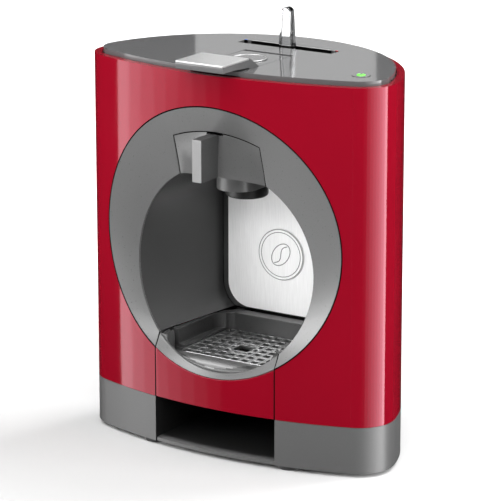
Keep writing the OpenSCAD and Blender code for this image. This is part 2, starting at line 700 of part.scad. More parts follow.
hose_y = 45;
module injector_hose() color("lightgray") difference() {
    post(2.5, valve_z1 + 0.02, carriage_top - carriage_t - 0.02, 0, hose_y);
    post(1.5, valve_z1 - 1, carriage_top, 0, hose_y);
}

SPRING_TURNS = 5;
module return_spring() color("silver") {
    z0 = disc_z + 5.4;
    z1 = carriage_top - carriage_t - 0.4;
    n = SPRING_TURNS * 10;
    sweep([for (i = [0:n]) [2.4 * cos(36 * i), spring_y + 2.4 * sin(36 * i), mix(z0, z1, i / n)]], 0.35, 5);
}

// ---- lever and valve --------------------------------------------------------------------
module selector_lever() color("lightcyan") translate([0, lever_y + lever_t / 2, 0]) rotate([90, 0, 0])
    linear_extrude(lever_t) {
        tip_r = 0.35 * lever_w;
        tip_z = body_h + lever_out - tip_r;
        polygon([[-lever_w / 2, arm_top], [lever_w / 2, arm_top], [lever_w / 2, body_h], [tip_r, tip_z],
            [-tip_r, tip_z], [-lever_w / 2, body_h]]);
        intersection() {
            translate([0, tip_z]) circle(r = tip_r);
            translate([-tip_r, tip_z]) square([2 * tip_r, tip_r]);
        }
    }

module lever_arm() color("gray") {
    rod_y(9, lever_y - 3, lever_y + 3, 0, lever_pivot_z);
    rod_y(3, valve_front + 1, lever_y, 0, lever_pivot_z);
    block([-lever_w / 2, lever_y - 3, lever_pivot_z], [lever_w / 2, lever_y + 3, arm_top - 0.02]);
}

module valve_block() color("tan") difference() {
    block([-14, valve_front, valve_z0], [14, valve_back, valve_z1]);
    rod_y(3 + run, valve_front + 0.5, valve_back + 1, 0, lever_pivot_z);
}

module slot_trim() color("gainsboro")
    block([-slot_hw + mark_w, trim_y, body_h - cover_t],
        [slot_hw - mark_w, slot_back - 0.02, body_h + 0.4]);

module cold_mark() color("royalblue")
    block([-slot_hw + 0.02, trim_y, body_h - cover_t],
        [-slot_hw + mark_w - 0.02, slot_back - 0.02, body_h + 0.4]);

module hot_mark() color("red")
    block([slot_hw - mark_w + 0.02, trim_y, body_h - cover_t],
        [slot_hw - 0.02, slot_back - 0.02, body_h + 0.4]);

// ---- power button -------------------------------------------------------------------
module power_button() color("limegreen") translate([end_x, 0, 0]) {
    post(button_r, body_h - 2, body_h + 0.4);
    post(2, body_h - 8, body_h - 2);
}

module button_switch() color("black") translate([end_x, 0, body_h]) {
    block([-6, -4, -18], [6, 4, -9.6]);
    block([-9, -9, -20], [9, 12, -18]);
    for (s = [-1, 1]) beside(s, 7, 9, [8, 12], [-18, -cover_t - 0.02]);
}

// ---- water tank ----------------------------------------------------------------------
module tank_plan(i) intersection() {
    outline(seam + i);
    translate([-tank_hw + i, tank_y + i]) square([tank_w - 2 * i, back_d]);
}

module water_tank() color("lightblue", 0.5) difference() {
    translate([0, 0, tank_z0]) linear_extrude(tank_z1 - tank_z0 - 3) tank_plan(0);
    translate([0, 0, tank_z0 + tank_wall]) linear_extrude(tank_z1) tank_plan(tank_wall);
    rod_y(6, tank_y - 1, tank_y + tank_wall + 1, valve_x, valve_z);
}

module tank_lid() color("dimgray") {
    translate([0, 0, tank_z1 - 2.98]) linear_extrude(3) tank_plan(0);
    translate([0, 0, tank_z1 - 6]) linear_extrude(3.5) difference() {
        tank_plan(tank_wall + 0.3);
        tank_plan(tank_wall + 2);
    }
}

module tank_valve() color("white") difference() {
    rod_y(5.95, tank_y, tank_y + 9, valve_x, valve_z);
    rod_y(4.3, tank_y - 1, tank_y + 6, valve_x, valve_z);
    rod_y(1.5, tank_y, tank_y + 20, valve_x, valve_z);
}

module tank_spigot() color("black") difference() {
    union() {
        rod_y(4.18, bay_wall_y - 6, bay_wall_y + 2, valve_x, valve_z);
        rod_y(4, bay_wall_y, tank_y + 5, valve_x, valve_z);
        rod_y(6, bay_wall_y - 2.5, bay_wall_y - 0.02, valve_x, valve_z);
    }
    rod_y(1.5, bay_wall_y - 20, bay_wall_y + 20, valve_x, valve_z);
}

// ---- water and power inside -----------------------------------------------------------
pump_z = 125;
module pump() color("goldenrod") {
    block([pump_x - 16, pump_y - 17, pump_z], [pump_x + 16, pump_y + 17, pump_z + 40]);
    post(14, pump_z - 10, pump_z, pump_x, pump_y);
    post(14, pump_z + 40, pump_z + 50, pump_x, pump_y);
    post(4, pump_z - 22, pump_z - 10, pump_x, pump_y);
    post(4, pump_z + 50, pump_z + 62, pump_x, pump_y);
}

module pump_mounts() color("black")
    for (z = [pump_z - 7, pump_z + 43]) difference() {
        block([pump_x - 17, pump_y - 18, z], [pump_x + 17, pump_y + 18, z + 5]);
        post(14.02, z - 1, z + 6, pump_x, pump_y);
    }

meter_z = 62;
module flow_meter() color("white") {
    post(14, meter_z, meter_z + 16, pump_x, pump_y);
    post(3, meter_z + 16, meter_z + 22, pump_x, pump_y);
    rod_y(3, pump_y + 8, pump_y + 20, pump_x, meter_z + 8);
}

heater_z0 = 112;
heater_z1 = 196;
module heater_block() color("silver") {
    block([heater_x - 14, heater_y - 18, heater_z0], [heater_x + 14, heater_y + 18, heater_z1]);
    post(3, heater_z1, heater_z1 + 7, heater_x, heater_y + 8);
    post(3, heater_z0 - 7, heater_z0, heater_x, heater_y + 8);
}

module thermostats() color("ivory")
    for (z = [heater_z0 + 24, heater_z0 + 56])
        rod_y(7, heater_y - 24, heater_y - 18.02, heater_x - 2, z);

module heater_bracket() color("gray") difference() {
    block([heater_x - 12, heater_y + 18.02, base_h + 0.02], [heater_x + 12, heater_y + 20, heater_z1 - 10]);
    block([heater_x - 9, heater_y + 17, heater_z0 - 25], [heater_x + 9, heater_y + 21, heater_z0 - 4]);
}

module pump_bracket() color("gray") difference() {
    block([pump_x - 14, pump_y + 18.02, base_h + 0.02], [pump_x + 14, pump_y + 20, pump_z + 50]);
    block([pump_x - 9, pump_y + 17, meter_z - 2], [pump_x + 9, pump_y + 21, meter_z + 18]);
}

module suction_hose() color("lightgray")
    hose([[valve_x, bay_wall_y - 6.5, valve_z], [valve_x, bay_wall_y - 10, valve_z],
        [valve_x - 2, bay_wall_y - 15, valve_z], [valve_x - 12, 40, valve_z + 4],
        [pump_x, pump_y + 26, meter_z + 8], [pump_x, pump_y + 20.4, meter_z + 8]], 2.5);

module meter_hose() color("lightgray")
    post(2.5, meter_z + 22.02, pump_z - 22.02, pump_x, pump_y);

module pressure_hose() color("lightgray")
    hose([[pump_x, pump_y, pump_z + 62.5], [pump_x, pump_y, pump_z + 66], [-86, 30, 196], [-68, 50, 186],
        [-48, 57.2, 170], [0, 57.2, 160], [48, 57.2, 150], [66, 50, 120], [84, 32, 98],
        [heater_x, heater_y + 10, 97], [heater_x, heater_y + 8, heater_z0 - 10],
        [heater_x, heater_y + 8, heater_z0 - 7.4]], 2.2);

module hot_water_hose() color("lightgray")
    hose([[heater_x, heater_y + 8, heater_z1 + 7.4], [heater_x, heater_y + 8, heater_z1 + 10],
        [84, 24, 209],
        [74, 36, 206], [58, 44, 203], [36, 44.5, 203], [18, 44.5, 203.5], [14.4, 44.5, 203.5]], 2.2);

module control_board() color("darkgreen") {
    block([42, 48, 214], [86, 49.6, 262]);
    block([46, 44, 220], [56, 48, 230]);
    block([62, 42, 236], [78, 48, 250]);
    for (x = [46, 60], z = [218, 258]) rod_y(2.5, 49.6, bay_wall_y - 0.02, x, z);
}

module wiring() color("black") {
    hose([[60, 46.5, 213.4], [60, 46.5, 210], [76, 44, 190], [88, 40, 150], [88, 40, 110], [78, 48, 80],
        [64, 50, 44], [64, 50, base_h + 0.4]], 1.6);
    hose([[80, 47, 213.4], [80, 47, 210], [heater_x + 4, 36, 192], [heater_x + 4, heater_y + 23, 180]],
        1.6);
}

// ---- everything in place ------------------------------------------------------------
translate([0, y_shift, 0]) {
    base_housing();
    base_plate();
    rubber_feet();
    base_screws();
    body_shell();
    top_cover();
    cover_screws();
    chassis();
    head_frame();
    front_ring();
    recess_liner();
    back_frame();
    back_plate();
    plate_badge();
    tray_panel();
    tray_bezel();
    tray_basin();
    drip_grid();
    tray_cradle();
    guide_rods();
    drawer_front();
    capsule_holder();
    outlet_nozzle();
    lock_handle();
    handle_inlay();
    handle_badge();
    hinge_pin();
    injector_carriage();
    injector_needle();
    capsule_seal();
    injector_hose();
    return_spring();
    selector_lever();
    lever_arm();
    valve_block();
    slot_trim();
    cold_mark();
    hot_mark();
    power_button();
    button_switch();
    water_tank();
    tank_lid();
    tank_valve();
    tank_spigot();
    pump();
    pump_mounts();
    pump_bracket();
    flow_meter();
    heater_block();
    thermostats();
    heater_bracket();
    suction_hose();
    meter_hose();
    pressure_hose();
    hot_water_hose();
    control_board();
    wiring();
    cord_gland();
}
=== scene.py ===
import json
import math

import bmesh
import bpy
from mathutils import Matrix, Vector


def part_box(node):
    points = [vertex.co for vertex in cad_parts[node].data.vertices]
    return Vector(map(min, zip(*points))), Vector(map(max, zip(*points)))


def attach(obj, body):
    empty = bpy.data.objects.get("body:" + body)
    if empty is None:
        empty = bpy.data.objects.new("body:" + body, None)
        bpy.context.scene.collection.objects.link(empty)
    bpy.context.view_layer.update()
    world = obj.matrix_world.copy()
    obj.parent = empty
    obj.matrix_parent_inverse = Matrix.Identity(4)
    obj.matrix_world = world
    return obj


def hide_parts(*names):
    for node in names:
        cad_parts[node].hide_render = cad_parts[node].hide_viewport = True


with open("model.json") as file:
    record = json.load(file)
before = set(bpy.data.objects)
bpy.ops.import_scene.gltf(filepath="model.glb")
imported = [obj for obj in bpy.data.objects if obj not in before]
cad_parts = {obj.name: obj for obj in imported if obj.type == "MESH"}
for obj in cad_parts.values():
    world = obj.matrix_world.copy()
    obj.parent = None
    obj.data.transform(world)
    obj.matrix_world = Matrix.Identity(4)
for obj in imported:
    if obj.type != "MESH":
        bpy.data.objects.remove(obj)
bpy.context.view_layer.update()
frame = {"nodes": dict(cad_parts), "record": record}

MM = 0.001

# ---- places and sizes: the frame's boxes, and the radii that a box doesn't give -----------
shell_low, shell_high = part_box("body_shell")
button_low, button_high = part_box("power_button")
ring_low, ring_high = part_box("front_ring")
grid_low, grid_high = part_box("drip_grid")
basin_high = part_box("tray_basin")[1]
base_low, base_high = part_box("base_housing")
panel_low, panel_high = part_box("tray_panel")

SEAM = 0.4 * MM
END_RADIUS = 25.75 * MM
MOUTH_RADIUS = 72.2 * MM
MOUTH_Z = 134.4 * MM
MOUTH_SINK = 9.1 * MM
MOUTH_TILT = 0.07
DRAWER_HALF = 35 * MM
DRAWER_ARC = 98 * MM
END_LINE_Y = (button_low.y + button_high.y) / 2
END_X = (shell_high.x - shell_low.x) / 2 - END_RADIUS
FRONT_DEPTH = END_LINE_Y - shell_low.y
FRONT_CENTRE = (END_X**2 - (FRONT_DEPTH - END_RADIUS) ** 2) / (2 * (FRONT_DEPTH - END_RADIUS))
FRONT_RADIUS = FRONT_CENTRE + FRONT_DEPTH
RING_RADIUS = (ring_high.x - ring_low.x) / 2 + SEAM
RING_Z = ring_high.z + SEAM - RING_RADIUS
TRAY_HALF = (panel_high.x - panel_low.x) / 2
BASE_MIDDLE = (base_low + base_high) / 2
BASE_ROUND = 2.2 * MM
GRIP_DEPTH = 3.5 * MM
WELD = 2e-6
EDGE_STEPS = 2
EDGE_ANGLE = math.radians(28)


def front_y(x):
    """Y of the bowed front at a distance x from the middle."""
    return END_LINE_Y + FRONT_CENTRE - math.sqrt(FRONT_RADIUS**2 - x * x)


def mouth_y(x, z):
    """Y of the recess mouth's edge."""
    return front_y(x) + MOUTH_SINK + MOUTH_TILT * (z - MOUTH_Z)


def mouth_low(x):
    """Height of the mouth's lower edge at x."""
    return MOUTH_Z - math.sqrt(max(0.0, MOUTH_RADIUS**2 - x * x))


def ring_y(x, z):
    """Y of the dished ring at a point of the front view, between its two edges."""
    dz, dr, w = MOUTH_Z - RING_Z, RING_RADIUS - MOUTH_RADIUS, z - RING_Z
    a = dz * dz - dr * dr
    b = 2 * (RING_RADIUS * dr - w * dz)
    c = x * x + w * w - RING_RADIUS**2
    t = min(1.0, max(0.0, (-b + math.sqrt(max(0.0, b * b - 4 * a * c))) / (2 * a)))
    k = x / (RING_RADIUS + (MOUTH_RADIUS - RING_RADIUS) * t)
    outer = front_y(RING_RADIUS * k)
    inner = mouth_y(MOUTH_RADIUS * k, min(z, MOUTH_Z + MOUTH_RADIUS))
    return outer + (inner - outer) * t


# ---- materials ----------------------------------------------------------------------
def new_material(name):
    m = bpy.data.materials.new(name)
    m.use_nodes = True
    return m, m.node_tree, m.node_tree.nodes["Principled BSDF"]


def noise(tree, scale, detail=4.0, rough=0.5, stretch=None):
    """A noise pattern fixed to the piece, in cycles per metre, stretched along axes if asked."""
    place = tree.nodes.new("ShaderNodeTexCoord")
    turn = tree.nodes.new("ShaderNodeMapping")
    if stretch:
        turn.inputs["Scale"].default_value = stretch
    tree.links.new(place.outputs["Object"], turn.inputs["Vector"])
    n = tree.nodes.new("ShaderNodeTexNoise")
    n.inputs["Scale"].default_value = scale
    n.inputs["Detail"].default_value = detail
    n.inputs["Roughness"].default_value = rough
    tree.links.new(turn.outputs["Vector"], n.inputs["Vector"])
    return n


def ranged(tree, source, low, high):
    """The pattern's values spread from low to high."""
    r = tree.nodes.new("ShaderNodeMapRange")
    r.inputs["From Min"].default_value = 0.3
    r.inputs["From Max"].default_value = 0.7
    r.inputs["To Min"].default_value = low
    r.inputs["To Max"].default_value = high
    tree.links.new(source.outputs["Fac"], r.inputs["Value"])
    return r


def bump(tree, shader, source, strength, depth):
    b = tree.nodes.new("ShaderNodeBump")
    b.inputs["Strength"].default_value = strength
    b.inputs["Distance"].default_value = depth
    tree.links.new(source.outputs["Fac"], b.inputs["Height"])
    tree.links.new(b.outputs["Normal"], shader.inputs["Normal"])


def tinted(tree, shader, source, dark, light):
    """The base colour wanders between two close tones."""
    ramp = tree.nodes.new("ShaderNodeValToRGB")
    ramp.color_ramp.elements[0].position = 0.35
    ramp.color_ramp.elements[1].position = 0.65
    ramp.color_ramp.elements[0].color = (*dark, 1)
    ramp.color_ramp.elements[1].color = (*light, 1)
    tree.links.new(source.outputs["Fac"], ramp.inputs["Fac"])
    tree.links.new(ramp.outputs["Color"], shader.inputs["Base Color"])


def shade(colour, factor):
    return tuple(min(1.0, c * factor) for c in colour)


def gloss_plastic(name, colour, roughness=0.12, tint=(1, 1, 1), wander=0.03):
    """Injection-moulded gloss: even colour, a trace of flow wave, faint wiping haze in the gloss."""
    m, tree, s = new_material(name)
    tinted(tree, s, noise(tree, 9, 2), shade(colour, 1 - wander), shade(colour, 1 + wander))
    haze = ranged(tree, noise(tree, 45, 5, 0.6), roughness * 0.85, roughness * 1.25)
    tree.links.new(haze.outputs["Result"], s.inputs["Roughness"])
    bump(tree, s, noise(tree, 60, 1), 0.05, 0.0002)
    s.inputs["Specular Tint"].default_value = (*tint, 1)
    return m


def satin_plastic(name, colour, roughness=0.42, grain=0.12, wander=0.05):
    """Fine spark-eroded satin: a half-millimetre grain in height and gloss."""
    m, tree, s = new_material(name)
    tinted(tree, s, noise(tree, 14, 3), shade(colour, 1 - wander), shade(colour, 1 + wander))
    haze = ranged(tree, noise(tree, 700, 3, 0.6), roughness * 0.9, roughness * 1.12)
    tree.links.new(haze.outputs["Result"], s.inputs["Roughness"])
    bump(tree, s, noise(tree, 1600, 3, 0.6), grain, 0.0001)
    return m


def metallic_paint(name, colour, roughness=0.34, metal=0.55, flake=0.05):
    """Silver-grey lacquer with fine flake."""
    m, tree, s = new_material(name)
    tinted(tree, s, noise(tree, 2600, 2, 0.7), shade(colour, 1 - flake), shade(colour, 1 + flake))
    haze = ranged(tree, noise(tree, 900, 3, 0.6), roughness * 0.9, roughness * 1.15)
    tree.links.new(haze.outputs["Result"], s.inputs["Roughness"])
    s.inputs["Metallic"].default_value = metal
    bump(tree, s, noise(tree, 1800, 3, 0.6), 0.06, 0.0001)
    return m


def brushed_metal(name, colour, roughness=0.28, stretch=(1, 40, 40), grain=0.15, metal=1.0):
    """Metal with a drawn grain along one axis."""
    m, tree, s = new_material(name)
    s.inputs["Metallic"].default_value = metal
    lines = noise(tree, 60, 4, 0.7, stretch)
    tinted(tree, s, lines, shade(colour, 0.93), shade(colour, 1.05))
    haze = ranged(tree, lines, roughness * 0.8, roughness * 1.25)
    tree.links.new(haze.outputs["Result"], s.inputs["Roughness"])
    bump(tree, s, lines, grain, 0.00005)
    return m


def clear_plastic(name, colour, edge, roughness=0.03):
    """Transparent moulding with painted shade at its edges, darker where it is seen edge-on, with faint
    haze in its gloss.
    """
    m, tree, s = new_material(name)
    facing = tree.nodes.new("ShaderNodeLayerWeight")
    facing.inputs["Blend"].default_value = 0.35
    blend = tree.nodes.new("ShaderNodeMix")
    blend.data_type = "RGBA"
    blend.inputs["A"].default_value = (*colour, 1)
    blend.inputs["B"].default_value = (*edge, 1)
    tree.links.new(facing.outputs["Facing"], blend.inputs["Factor"])
    tree.links.new(blend.outputs["Result"], s.inputs["Base Color"])
    s.inputs["Transmission Weight"].default_value = 1.0
    s.inputs["IOR"].default_value = 1.49
    haze = ranged(tree, noise(tree, 220, 4, 0.6), roughness * 0.6, roughness * 1.8)
    tree.links.new(haze.outputs["Result"], s.inputs["Roughness"])
    return m


def bay_floor_painted_shade(name, lip, dark, width):
    """The base plate: lip colour along the bowed front edge, darkening further in as painted shade in the
    tray's bay.
    """
    m, tree, s = new_material(name)
    place = tree.nodes.new("ShaderNodeTexCoord")
    flat = tree.nodes.new("ShaderNodeVectorMath")
    flat.operation = "MULTIPLY"
    flat.inputs[1].default_value = (1, 1, 0)
    tree.links.new(place.outputs["Object"], flat.inputs[0])
    away = tree.nodes.new("ShaderNodeVectorMath")
    away.operation = "DISTANCE"
    away.inputs[1].default_value = (0, END_LINE_Y + FRONT_CENTRE, 0)
    tree.links.new(flat.outputs["Vector"], away.inputs[0])
    edge = tree.nodes.new("ShaderNodeMapRange")
    edge.inputs["From Min"].default_value = FRONT_RADIUS - 2.5 * width
    edge.inputs["From Max"].default_value = FRONT_RADIUS - width
    tree.links.new(away.outputs["Value"], edge.inputs["Value"])
    blend = tree.nodes.new("ShaderNodeMix")
    blend.data_type = "RGBA"
    blend.inputs["A"].default_value = (*dark, 1)
    blend.inputs["B"].default_value = (*lip, 1)
    tree.links.new(edge.outputs["Result"], blend.inputs["Factor"])
    tree.links.new(blend.outputs["Result"], s.inputs["Base Color"])
    s.inputs["Roughness"].default_value = 0.5
    bump(tree, s, noise(tree, 1600, 3, 0.6), 0.1, 0.0001)
    return m


def gap_shadow(name, colour):
    """The painted shade of a gap: rough, with no gloss."""
    m = satin_plastic(name, colour, 0.9)
    m.node_tree.nodes["Principled BSDF"].inputs["Specular IOR Level"].default_value = 0.0
    return m


def rubber(name, colour, roughness=0.7):
    m, tree, s = new_material(name)
    tinted(tree, s, noise(tree, 120, 4), shade(colour, 0.8), shade(colour, 1.3))
    bump(tree, s, noise(tree, 1200, 4, 0.7), 0.3, 0.0001)
    s.inputs["Roughness"].default_value = roughness
    return m


def lit_plastic(name, colour, glow):
    """A translucent button with a lamp below: brightest at its middle."""
    m, tree, s = new_material(name)
    tinted(tree, s, noise(tree, 300, 2), shade(colour, 0.9), shade(colour, 1.1))
    s.inputs["Roughness"].default_value = 0.3
    s.inputs["Emission Strength"].default_value = glow
    low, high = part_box("power_button")
    centre = (low + high) / 2
    place = tree.nodes.new("ShaderNodeTexCoord")
    away = tree.nodes.new("ShaderNodeVectorMath")
    away.operation = "DISTANCE"
    away.inputs[1].default_value = (centre.x, centre.y, high.z)
    tree.links.new(place.outputs["Object"], away.inputs[0])
    ramp = tree.nodes.new("ShaderNodeValToRGB")
    ramp.color_ramp.elements[0].color = (*colour, 1)
    ramp.color_ramp.elements[1].color = (*shade(colour, 0.05), 1)
    ramp.color_ramp.elements[0].position = 0.1
    ramp.color_ramp.elements[1].position = 0.85
    reach = tree.nodes.new("ShaderNodeMath")
    reach.operation = "DIVIDE"
    reach.inputs[1].default_value = (high.x - low.x) / 2
    tree.links.new(away.outputs["Value"], reach.inputs[0])
    tree.links.new(reach.outputs["Value"], ramp.inputs["Fac"])
    tree.links.new(ramp.outputs["Color"], s.inputs["Emission Color"])
    return m


FINISH = {
    "red_shell": gloss_plastic("red_gloss_shell", (0.155, 0.0018, 0.008), 0.06, (1, 0.52, 0.64)),
    "dark_gloss": gloss_plastic("dark_cover_gloss", (0.075, 0.075, 0.076), 0.07),
    "gray_satin": metallic_paint("ring_grey_satin", (0.095, 0.095, 0.095), 0.3, 0.3),
    "base_gray": metallic_paint("base_grey_satin", (0.085, 0.085, 0.085), 0.4, 0.2),
    "recess_dark": satin_plastic("recess_dark_satin", (0.035, 0.035, 0.035), 0.33),
    "black_plastic": satin_plastic("black_plastic", (0.008, 0.008, 0.008), 0.45),
    "silver_plate": brushed_metal("back_plate_silver", (0.88, 0.88, 0.88), 0.42, (40, 40, 1), 0.02, 0.15),
    "silver_trim": metallic_paint("silver_trim", (0.42, 0.42, 0.42), 0.3, 0.6),
    "tray_gray": metallic_paint("tray_dark_grey", (0.045, 0.045, 0.045), 0.3, 0.25),
    "grid_metal": brushed_metal("grid_steel", (0.5, 0.5, 0.5), 0.3, (1, 30, 30), 0.05),
    # the edge colours here are painted shade at the mouldings' edges
    "clear_acrylic": clear_plastic("lever_acrylic", (0.86, 0.87, 0.88), (0.05, 0.05, 0.055)),
    "blue_mark": gloss_plastic("cold_blue", (0.03, 0.16, 0.75), 0.2),
    "red_mark": gloss_plastic("hot_red", (0.75, 0.02, 0.03), 0.2),
    "green_light": lit_plastic("button_green", (0.12, 0.7, 0.05), 0.5),
    "smoke_tank": clear_plastic("tank_smoke", (0.35, 0.37, 0.4), (0.1, 0.1, 0.11), 0.06),
    "rubber": rubber("foot_rubber", (0.02, 0.02, 0.02)),
    "steel": brushed_metal("plain_steel", (0.56, 0.56, 0.57), 0.3),
    "brass": brushed_metal("valve_brass", (0.72, 0.5, 0.22), 0.3),
    "aluminium": brushed_metal("cast_aluminium", (0.62, 0.62, 0.63), 0.5, (1, 1, 1), 0.4),
    "silicone": rubber("clear_silicone", (0.6, 0.61, 0.6), 0.5),
    "white_plastic": satin_plastic("white_plastic", (0.75, 0.75, 0.73), 0.4),
    "board_green": gloss_plastic("board_green", (0.02, 0.12, 0.05), 0.3),
}
SEAM_PAINTED_SHADE = gap_shadow("seam_shadow", (0.002, 0.002, 0.002))
# painted light and shade on the drawer's grip fin: a lighter copy of its finish for the front face and a
# near-black one for its right side and top, for how the light falls there
GRIP_PAINTED_LIGHT = metallic_paint("grip_front_painted_light", (0.17, 0.17, 0.17), 0.35, 0.2)
GRIP_PAINTED_SHADE = satin_plastic("grip_side_painted_shade", (0.03, 0.03, 0.03), 0.4)
# painted shade: the bay floor runs from the base's grey at its front edge to near black further in
BAY_FLOOR_PAINTED_SHADE = bay_floor_painted_shade("bay_floor_painted_shade", (0.085, 0.085, 0.085), (0.006, 0.006, 0.006), 4 * MM)
# painted highlight: a brighter, more metallic copy of the tray's grey, laid on a crescent of the tray's
# lip
TRAY_PAINTED_HIGHLIGHT = metallic_paint("tray_painted_highlight", (0.15, 0.15, 0.15), 0.3, 0.6)
SLOT_OF = {s["node"]: s["material_slot"] for s in frame["record"]["subparts"]}
BODY_OF = {n: b for b, names in frame["record"]["behaviour"]["bodies"].items() for n in names}

for node, thing in frame["nodes"].items():
    thing.data.materials.clear()
    thing.data.materials.append(FINISH[SLOT_OF[node]])


# ---- outer pieces with softened edges --------------------------------------------------
def round_base(bm):
    """Rounds the base's outer lower edge, clear of the tray's bay."""
    rim = []
    for e in bm.edges:
        if len(e.link_faces) != 2:
            continue
        tilts = [f.normal.z for f in e.link_faces]
        low = all(v.co.z < base_low.z + 0.05 * MM for v in e.verts)
        clear = all(abs(v.co.x) > TRAY_HALF + 2 * MM for v in e.verts)
        outer = any((f.calc_center_median() - BASE_MIDDLE).xy.dot(f.normal.xy) > 0
                    for f in e.link_faces if abs(f.normal.z) < 0.1)
        if low and clear and outer and min(tilts) < -0.9 and max(tilts) > -0.1:
            rim.append(e)
    bmesh.ops.bevel(bm, geom=rim, offset=BASE_ROUND, segments=4, profile=0.5, affect="EDGES",
                    clamp_overlap=True)


def draw_in(bm, node):
    """Makes a mark shorter and narrower, with its outer tip kept in place."""
    side, along, across = SHRINK[node]
    low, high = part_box(node)
    tip, mid = (high.x if side > 0 else low.x), (low.y + high.y) / 2
    for v in bm.verts:
        v.co.x = tip + (v.co.x - tip) * along
        v.co.y = mid + (v.co.y - mid) * across


def softened(node, width, slot=None, joined=True):
    """A copy of a frame piece with its faces joined and its sharp edges rounded like a moulding's."""
    source = frame["nodes"][node]
    mesh = source.data.copy()
    mesh.name = node + "_soft"
    bm = bmesh.new()
    bm.from_mesh(mesh)
    bmesh.ops.remove_doubles(bm, verts=bm.verts, dist=WELD)
    if joined:
        bmesh.ops.dissolve_limit(
            bm, angle_limit=math.radians(0.25), verts=bm.verts, edges=bm.edges, delimit={"NORMAL"}
        )
    if node == "base_housing":
        round_base(bm)
    if node in SHRINK:
        draw_in(bm, node)
    bm.to_mesh(mesh)
    bm.free()
    piece = bpy.data.objects.new(node + "_soft", mesh)
    bpy.context.scene.collection.objects.link(piece)
    mesh.shade_smooth()
    mesh.set_sharp_from_angle(angle=EDGE_ANGLE)
    bevel = piece.modifiers.new("edge", "BEVEL")
    bevel.width = width
    bevel.segments = EDGE_STEPS
    bevel.limit_method = "ANGLE"
    bevel.angle_limit = EDGE_ANGLE
    bevel.use_clamp_overlap = True
    bevel.harden_normals = False
    bevel.miter_outer = "MITER_ARC"
    weighted = piece.modifiers.new("flat faces stay flat", "WEIGHTED_NORMAL")
    weighted.keep_sharp = False
    weighted.weight = 100
    mesh.materials.clear()
    mesh.materials.append(FINISH[slot or SLOT_OF[node]])
    for finish, wanted in RECOLOUR.get(node, ()):
        mesh.materials.append(finish)
        for face in mesh.polygons:
            if wanted(face.center, face.normal):
                face.material_index = len(mesh.materials) - 1
    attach(piece, BODY_OF[node])
    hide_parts(node)


# upright faces inside the tray's bay are given the black finish as painted shade deep in the bay
def in_bay(c, n):
    upright = abs(n.z) < 0.5 and abs(n.x) + abs(n.y) > 0.5
    return upright and abs(c.x) < TRAY_HALF + 1 * MM and c.y > front_y(c.x) + 1 * MM


# faces that don't face up: on the slot trim and the hot and cold marks they take the painted shade of a
# gap
def upright_front(c, n):
    return n.z < 0.5


# masks for the grip fin's painted shade (right side and top) and painted light (front face)
def grip_side(c, n):
    return c.y < front_y(0) + GRIP_DEPTH and (n.x > 0.7 or n.z > 0.7)


def grip_face(c, n):
    return c.y < front_y(0) + GRIP_DEPTH and n.y < -0.9 and abs(c.x) < DRAWER_HALF / 2


RECOLOUR = {
    "base_housing": [(FINISH["black_plastic"], in_bay)],
    "base_plate": [(BAY_FLOOR_PAINTED_SHADE, lambda c, n: n.z > 0.5)],
    "drawer_front": [(GRIP_PAINTED_SHADE, grip_side), (GRIP_PAINTED_LIGHT, grip_face)],
    "slot_trim": [(SEAM_PAINTED_SHADE, upright_front)],
    "cold_mark": [(SEAM_PAINTED_SHADE, upright_front)],
    "hot_mark": [(SEAM_PAINTED_SHADE, upright_front)],
}
# width of each rounded edge, in millimetres
EDGE = {
    "base_housing": 0.5, "body_shell": 0.5, "top_cover": 0.5, "front_ring": 0.45, "recess_liner": 0.4,
    "back_plate": 0.35, "back_frame": 0.3, "tray_panel": 0.4, "tray_bezel": 0.4, "tray_basin": 0.5,
    "drip_grid": 0.5, "drawer_front": 0.5, "capsule_holder": 0.5, "outlet_nozzle": 0.4, "lock_handle": 0.6,
    "handle_inlay": 0.4, "selector_lever": 0.9, "slot_trim": 0.15, "cold_mark": 0.15, "hot_mark": 0.15,
    "plate_badge": 0.4, "handle_badge": 0.2, "power_button": 0.35, "tank_lid": 0.5, "water_tank": 0.6,
    "base_plate": 0.3, "tray_cradle": 0.3,
}
# which end stays, then the shares of length and width that are kept
SHRINK = {"cold_mark": (-1, 0.42, 0.6), "hot_mark": (1, 0.42, 0.6)}
FINISH_FROM = {"plate_badge": "silver_plate", "handle_badge": "dark_gloss", "power_button": "dark_gloss"}
for node, width in EDGE.items():
    softened(node, width * MM, slot=FINISH_FROM.get(node), joined=node != "drip_grid")


